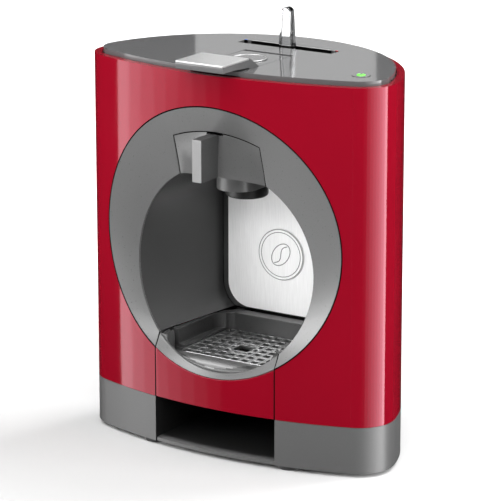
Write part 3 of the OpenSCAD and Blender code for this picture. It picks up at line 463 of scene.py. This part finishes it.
# ---- lines: seams, rings and marks ----------------------------------------------------
def line_tree():
    """Round line along a mesh's edges, with a radius and a finish."""
    tree = bpy.data.node_groups.new("line_along_edges", "GeometryNodeTree")
    face = tree.interface
    face.new_socket("Geometry", in_out="INPUT", socket_type="NodeSocketGeometry")
    radius = face.new_socket("Line Radius", in_out="INPUT", socket_type="NodeSocketFloat")
    finish = face.new_socket("Line Finish", in_out="INPUT", socket_type="NodeSocketMaterial")
    face.new_socket("Geometry", in_out="OUTPUT", socket_type="NodeSocketGeometry")
    inside = tree.nodes.new("NodeGroupInput")
    outside = tree.nodes.new("NodeGroupOutput")
    to_curve = tree.nodes.new("GeometryNodeMeshToCurve")
    profile = tree.nodes.new("GeometryNodeCurvePrimitiveCircle")
    profile.inputs["Resolution"].default_value = 10
    to_mesh = tree.nodes.new("GeometryNodeCurveToMesh")
    to_mesh.inputs["Fill Caps"].default_value = True
    smooth = tree.nodes.new("GeometryNodeSetShadeSmooth")
    paint = tree.nodes.new("GeometryNodeSetMaterial")
    real = tree.nodes.new("GeometryNodeRealizeInstances")
    link = tree.links.new
    link(inside.outputs["Geometry"], to_curve.inputs["Mesh"])
    link(inside.outputs["Line Radius"], profile.inputs["Radius"])
    link(to_curve.outputs["Curve"], to_mesh.inputs["Curve"])
    link(profile.outputs["Curve"], to_mesh.inputs["Profile Curve"])
    link(to_mesh.outputs["Mesh"], smooth.inputs["Geometry"])
    link(smooth.outputs["Geometry"], real.inputs["Geometry"])
    link(real.outputs["Geometry"], paint.inputs["Geometry"])
    link(inside.outputs["Line Finish"], paint.inputs["Material"])
    link(paint.outputs["Geometry"], outside.inputs["Geometry"])
    return tree, radius.identifier, finish.identifier


LINE_TREE, LINE_RADIUS, LINE_FINISH = line_tree()


def lines(name, paths, radius, finish, body, slot):
    """One piece of round lines along the given paths. A path that ends where it starts is closed."""
    points, edges = [], []
    for path in paths:
        first = len(points)
        closed = (Vector(path[0]) - Vector(path[-1])).length < 1e-6
        kept = path[:-1] if closed else path
        points += kept
        edges += [(first + k, first + k + 1) for k in range(len(kept) - 1)]
        if closed:
            edges.append((first + len(kept) - 1, first))
    guide_mesh = bpy.data.meshes.new(name + "_guide")
    guide_mesh.from_pydata(points, edges, [])
    guide = bpy.data.objects.new(name + "_guide", guide_mesh)
    bpy.context.scene.collection.objects.link(guide)
    modifier = guide.modifiers.new("line", "NODES")
    modifier.node_group = LINE_TREE
    modifier[LINE_RADIUS] = radius
    modifier[LINE_FINISH] = finish
    graph = bpy.context.evaluated_depsgraph_get()
    mesh = bpy.data.meshes.new_from_object(guide.evaluated_get(graph))
    bpy.data.objects.remove(guide)
    mesh.name = name
    piece = bpy.data.objects.new(name, mesh)
    bpy.context.scene.collection.objects.link(piece)
    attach(piece, body)


def arc(centre_x, centre_z, radius, start, end, steps, y_at):
    """Points on a circle in the front view, from start to end in degrees, at the depth y_at(x, z)."""
    points = []
    for k in range(steps + 1):
        a = math.radians(start + (end - start) * k / steps)
        x, z = centre_x + radius * math.cos(a), centre_z + radius * math.sin(a)
        points.append((x, y_at(x, z), z))
    return points


def flat_arc(centre, radius, start, end, steps):
    """Points on a level circle about a centre."""
    points = []
    for k in range(steps + 1):
        a = math.radians(start + (end - start) * k / steps)
        points.append((centre.x + radius * math.cos(a), centre.y + radius * math.sin(a), centre.z))
    return points


SINK = 0.3 * MM
LINE = 0.55 * MM
split = math.degrees(math.acos(-(TRAY_HALF + SEAM / 2) / RING_RADIUS))
seam_radius = RING_RADIUS - SEAM / 2


def sunk_front(x, z):
    return front_y(x) + SINK


def sunk_ring(x, z):
    return ring_y(x, z) + SINK


# the seams are dark round lines sunk into the gaps: painted shade where the gaps fall in shade
lines("ring_seam_shade", [arc(0, RING_Z, seam_radius, split - 180, 360 - split, 160, sunk_front)],
      LINE, SEAM_PAINTED_SHADE, "root", "black_plastic")


def tray_seam(x):
    """Up the front, then across the ring's face to the mouth."""
    ring_foot = RING_Z - math.sqrt(RING_RADIUS**2 - x * x)
    path = [(x, sunk_front(x, 0), panel_low.z)]
    steps = 8
    for k in range(steps + 1):
        z = ring_foot + (mouth_low(x) - ring_foot) * k / steps
        path.append((x, sunk_ring(x, z), z))
    return path


lines("tray_seam_shades", [tray_seam(side * (TRAY_HALF + SEAM / 2)) for side in (-1, 1)],
      LINE, SEAM_PAINTED_SHADE, "root", "black_plastic")

drawer_edge = DRAWER_HALF + SEAM / 2
drawer_arc = DRAWER_ARC + SEAM / 2
drawer_turn = math.degrees(math.asin(drawer_edge / drawer_arc))
drawer_foot = MOUTH_Z + math.sqrt(MOUTH_RADIUS**2 - drawer_edge**2)
drawer_top = MOUTH_Z + drawer_arc * math.cos(math.radians(drawer_turn))
flank_steps = 6
right_flank = []
for k in range(flank_steps):
    z = drawer_foot + (drawer_top - drawer_foot) * k / flank_steps
    right_flank.append((drawer_edge, sunk_ring(drawer_edge, z), z))
left_flank = [(-x, y, z) for x, y, z in reversed(right_flank)]
over = arc(0, MOUTH_Z, drawer_arc, 90 - drawer_turn, 90 + drawer_turn, 24, sunk_ring)
lines("drawer_seam_shade", [right_flank + over + left_flank], LINE * 0.9, SEAM_PAINTED_SHADE, "root", "black_plastic")


def tray_apron():
    """The tray's rounded lip: from just inside the mouth's lower edge up to the grid and the shelf, with a
    crescent on its front in a shinier metal finish as a painted highlight.
    """
    columns, rows, skin = 72, 12, 1.0 * MM
    half = TRAY_HALF - 1.2 * MM
    shelf_z, grid_z = basin_high.z - 0.1 * MM, grid_high.z - 0.2 * MM
    back_y, shelf_y = grid_low.y - 0.2 * MM, grid_low.y + 4 * MM
    wall_in, wall_out = 40.5 * MM, 44.0 * MM
    shine_middle, shine_half = -5 * MM, 30 * MM
    points = []
    for under in (0, skin):
        for k in range(columns + 1):
            x = -half + 2 * half * k / columns
            share = min(1.0, max(0.0, (abs(x) - wall_in) / (wall_out - wall_in)))
            share = share * share * (3 - 2 * share)
            front_z = mouth_low(x) - 0.4 * MM
            front = mouth_y(x, front_z) + 1.4 * MM
            back_z = grid_z + (shelf_z - grid_z) * share
            back = back_y + (shelf_y - back_y) * share
            for q in range(rows + 1):
                a = math.pi / 2 * q / rows
                points.append((x, front + under + (back - front) * (1 - math.cos(a)),
                               front_z - under + (back_z - front_z) * math.sin(a)))
    row = rows + 1
    layer = (columns + 1) * row
    faces, shine = [], []
    for k in range(columns):
        for q in range(rows):
            a = k * row + q
            faces.append((a, a + row, a + row + 1, a + 1))
            # faces in a crescent about shine_middle take the painted highlight
            x = -half + 2 * half * (k + 0.5) / columns
            across = (x - shine_middle) / shine_half
            shine.append(abs(across) < 1 and (q + 0.5) / rows > 0.2 + 0.5 * across**2)
            faces.append((layer + a, layer + a + 1, layer + a + row + 1, layer + a + row))
            shine.append(False)
    rim = [k * row for k in range(columns + 1)] + [columns * row + q for q in range(1, row)]
    rim += [k * row + rows for k in range(columns - 1, -1, -1)] + [q for q in range(rows - 1, 0, -1)]
    for k, a in enumerate(rim):
        b = rim[(k + 1) % len(rim)]
        faces.append((b, a, a + layer, b + layer))
        shine.append(False)
    mesh = bpy.data.meshes.new("tray_apron")
    mesh.from_pydata(points, [], faces)
    mesh.materials.append(FINISH["tray_gray"])
    mesh.materials.append(TRAY_PAINTED_HIGHLIGHT)
    for face, bright in zip(mesh.polygons, shine):
        face.material_index = 1 if bright else 0
    mesh.shade_smooth()
    mesh.set_sharp_from_angle(angle=math.radians(50))
    piece = bpy.data.objects.new("tray_apron", mesh)
    bpy.context.scene.collection.objects.link(piece)
    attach(piece, BODY_OF["tray_basin"])


tray_apron()

# plate: two pressed rings and a plain bean outline
badge_low, badge_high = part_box("plate_badge")
badge_centre = (badge_low + badge_high) / 2
badge_radius = (badge_high.x - badge_low.x) / 2


def badge_face(x, z):
    return badge_low.y + 0.1 * MM


def bean(centre_x, centre_z, length, width, tilt):
    """Oval outline with a winding middle line."""
    c, n = math.cos(math.radians(tilt)), math.sin(math.radians(tilt))
    outline, crease = [], []
    steps = 40
    for k in range(steps + 1):
        a = 2 * math.pi * k / steps
        u, v = length * math.cos(a), width * math.sin(a)
        outline.append((centre_x + u * c - v * n, badge_face(0, 0), centre_z + u * n + v * c))
        t = 2 * k / steps - 1
        u, v = 0.9 * length * t, 0.3 * width * math.sin(math.pi * t)
        crease.append((centre_x + u * c - v * n, badge_face(0, 0), centre_z + u * n + v * c))
    outline[-1] = outline[0]
    return [outline, crease]


BADGE_RINGS = (0.97, 0.86)
BEAN_LENGTH = 0.5
BEAN_WIDTH = 0.33
BEAN_TILT = 50
BADGE_TONE = satin_plastic("pressed_line", (0.2, 0.2, 0.2), 0.4)
pressed = []
for share in BADGE_RINGS:
    pressed.append(arc(badge_centre.x, badge_centre.z, badge_radius * share, 0, 360, 72, badge_face))
lines("badge_rings", pressed, 0.3 * MM, BADGE_TONE, "root", "silver_plate")
outlined = bean(badge_centre.x, badge_centre.z, badge_radius * BEAN_LENGTH,
                badge_radius * BEAN_WIDTH, BEAN_TILT)
lines("badge_bean", outlined, 0.35 * MM, BADGE_TONE, "root", "silver_plate")

# handle panel: a light ring round the plain dark oval
oval_low, oval_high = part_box("handle_badge")
oval_centre = (oval_low + oval_high) / 2
oval = []
oval_steps = 48
OVAL_SHARE = 0.92
for k in range(oval_steps + 1):
    a = 2 * math.pi * (k % oval_steps) / oval_steps
    oval.append((oval_centre.x + (oval_high.x - oval_low.x) / 2 * OVAL_SHARE * math.cos(a),
                 oval_centre.y + (oval_high.y - oval_low.y) / 2 * OVAL_SHARE * math.sin(a), oval_high.z))
lines("oval_ring", [oval], 0.35 * MM, FINISH["silver_trim"], BODY_OF["handle_badge"], "silver_trim")

# button: lit on-off sign
SIGN_SHARE = 0.42
SIGN_FROM, SIGN_TO = 130, 410
STROKE = (0.35, 1.2)
sign_centre = Vector(((button_low.x + button_high.x) / 2, END_LINE_Y, button_high.z))
sign_radius = (button_high.x - button_low.x) / 2 * SIGN_SHARE
sign = flat_arc(sign_centre, sign_radius, SIGN_FROM, SIGN_TO, 28)
stroke = [(sign_centre.x, sign_centre.y + sign_radius * f, sign_centre.z) for f in STROKE]
lines("button_sign", [sign, stroke], 0.42 * MM, FINISH["green_light"], BODY_OF["power_button"],
      "green_light")


# ---- room, lights and camera ---------------------------------------------------------
SHADOW_MIDDLE = (-0.13, -0.12, 0)
SHADOW_INNER = 0.2
SHADOW_OUTER = 0.46
FLOOR_HALF = 6.0
FADE = 0.6
BACK_WAY = (-0.54, 0.84, 0)
WALL_DIM = 0.16


def studio_floor():
    mesh = bpy.data.meshes.new("studio_floor")
    half = FLOOR_HALF
    corners = [(-half, -half, 0), (half, -half, 0), (half, half, 0), (-half, half, 0)]
    mesh.from_pydata(corners, [], [(0, 1, 2, 3)])
    floor = bpy.data.objects.new("studio_floor", mesh)
    bpy.context.scene.collection.objects.link(floor)
    m, tree, s = new_material("pale_floor")
    tinted(tree, s, noise(tree, 3, 2), (0.4, 0.4, 0.4), (0.42, 0.42, 0.42))
    s.inputs["Roughness"].default_value = 0.9
    s.inputs["Specular IOR Level"].default_value = 0.0
    # the floor glows white except in a patch about SHADOW_MIDDLE, where only the lamps light it: the shade
    # there is partly the lamps' real shadow and partly painted shadow, shaped by where the glow fades out
    place = tree.nodes.new("ShaderNodeTexCoord")
    away = tree.nodes.new("ShaderNodeVectorMath")
    away.operation = "DISTANCE"
    away.inputs[1].default_value = SHADOW_MIDDLE
    tree.links.new(place.outputs["Object"], away.inputs[0])
    reach = tree.nodes.new("ShaderNodeMapRange")
    reach.interpolation_type = "SMOOTHSTEP"
    reach.inputs["From Min"].default_value = SHADOW_INNER
    reach.inputs["From Max"].default_value = SHADOW_OUTER
    reach.inputs["To Max"].default_value = 1.0
    tree.links.new(away.outputs["Value"], reach.inputs["Value"])
    s.inputs["Emission Color"].default_value = (1, 1, 1, 1)
    tree.links.new(reach.outputs["Result"], s.inputs["Emission Strength"])
    mesh.materials.append(m)
    floor.visible_glossy = False


def softbox(name, azimuth, elevation, distance, width, height, power, centre):
    """A rectangular area light that faces the centre, its azimuth from the front to the right."""
    lamp = bpy.data.lights.new(name, "AREA")
    lamp.shape = "RECTANGLE"
    lamp.size = width
    lamp.size_y = height
    lamp.energy = power
    o = bpy.data.objects.new(name, lamp)
    bpy.context.scene.collection.objects.link(o)
    az = math.radians(azimuth)
    el = math.radians(elevation)
    away = Vector((math.sin(az) * math.cos(el), -math.cos(az) * math.cos(el), math.sin(el)))
    o.location = centre + away * distance
    o.rotation_euler = (-away).to_track_quat("-Z", "Y").to_euler()
    return o


def graded_box(name, outer, inner, bright, dim, strips, distance, height, centre):
    """Upright strips side by side, brightest at the outer azimuth and fading to the inner one."""
    step = (inner - outer) / strips
    width = 2 * distance * math.tan(math.radians(abs(step) / 2))
    for k in range(strips):
        share = k / (strips - 1)
        radiance = bright + (dim - bright) * share**FADE
        softbox(f"{name}_{k}", outer + step * (k + 0.5), 0, distance, width, height,
                radiance * width * height * math.pi, centre)


middle = (shell_low + shell_high) / 2
studio_floor()
graded_box("left_box", -66, -28, 4.3, 0.25, 8, 0.95, 1.9, middle)
graded_box("right_box", 114, 44, 10.5, 0.2, 8, 0.95, 1.9, middle)
# azimuth and elevation in degrees, then distance, width and height in metres, and power in watts
LIGHTS = {
    "ring_glow": (-4, 27, 1.5, 0.5, 0.4, 7.5),
    "cover_sheen": (213, 15, 0.6, 0.16, 0.3, 0.1),
    "top_box": (-20, 66, 1.5, 1.3, 1.0, 26),
    "front_fill": (30, 35, 2.6, 1.2, 1.0, 22),
    "low_left": (-40, 6, 1.0, 0.5, 0.3, 5),
    "floor_wash_left": (-60, 55, 3.4, 2.0, 2.0, 15),
    "floor_wash_right": (150, 55, 3.4, 1.4, 1.4, 150),
}
COVER_SPOT = Vector((0.03, 0, shell_high.z))
for name, setting in LIGHTS.items():
    on_cover = name == "cover_sheen"
    box = softbox(name, *setting, COVER_SPOT if on_cover else middle)
    box.visible_camera = not on_cover


def studio_walls():
    """A pale wall behind the object, above the table's level, and dim grey everywhere else."""
    world = bpy.data.worlds.new("studio")
    bpy.context.scene.world = world
    world.use_nodes = True
    tree = world.node_tree
    place = tree.nodes.new("ShaderNodeTexCoord")
    apart = tree.nodes.new("ShaderNodeSeparateXYZ")
    tree.links.new(place.outputs["Generated"], apart.inputs["Vector"])
    toward_back = tree.nodes.new("ShaderNodeVectorMath")
    toward_back.operation = "DOT_PRODUCT"
    toward_back.inputs[1].default_value = BACK_WAY
    tree.links.new(place.outputs["Generated"], toward_back.inputs[0])

    def eased(source, low, high):
        r = tree.nodes.new("ShaderNodeMapRange")
        r.interpolation_type = "SMOOTHSTEP"
        r.inputs["From Min"].default_value = low
        r.inputs["From Max"].default_value = high
        tree.links.new(source, r.inputs["Value"])
        return r.outputs["Result"]

    both = tree.nodes.new("ShaderNodeMath")
    both.operation = "MULTIPLY"
    tree.links.new(eased(apart.outputs["Z"], 0.03, 0.3), both.inputs[0])
    tree.links.new(eased(toward_back.outputs["Value"], 0.2, 0.8), both.inputs[1])
    level = tree.nodes.new("ShaderNodeMapRange")
    level.inputs["To Min"].default_value = WALL_DIM
    level.inputs["To Max"].default_value = 1.0
    tree.links.new(both.outputs["Value"], level.inputs["Value"])
    back = tree.nodes["Background"]
    tree.links.new(level.outputs["Result"], back.inputs["Strength"])


studio_walls()
bpy.context.scene.view_settings.view_transform = "Standard"

CAMERA_AT = (1.12128, -1.74042, 0.69589)
CAMERA_AZIMUTH = 32.96
CAMERA_ELEVATION = 15.12
CAMERA_ROLL = 0.04
SENSOR_MM = 36
LENS_MM = 218.7018

camera = bpy.data.cameras.new("camera")
camera.sensor_width = SENSOR_MM
camera.lens = LENS_MM
camera.clip_start = 0.01
eye = bpy.data.objects.new("camera", camera)
bpy.context.scene.collection.objects.link(eye)
eye.location = CAMERA_AT
eye.rotation_euler = (
    math.radians(90 - CAMERA_ELEVATION),
    math.radians(CAMERA_ROLL),
    math.radians(CAMERA_AZIMUTH),
)
bpy.context.scene.camera = eye
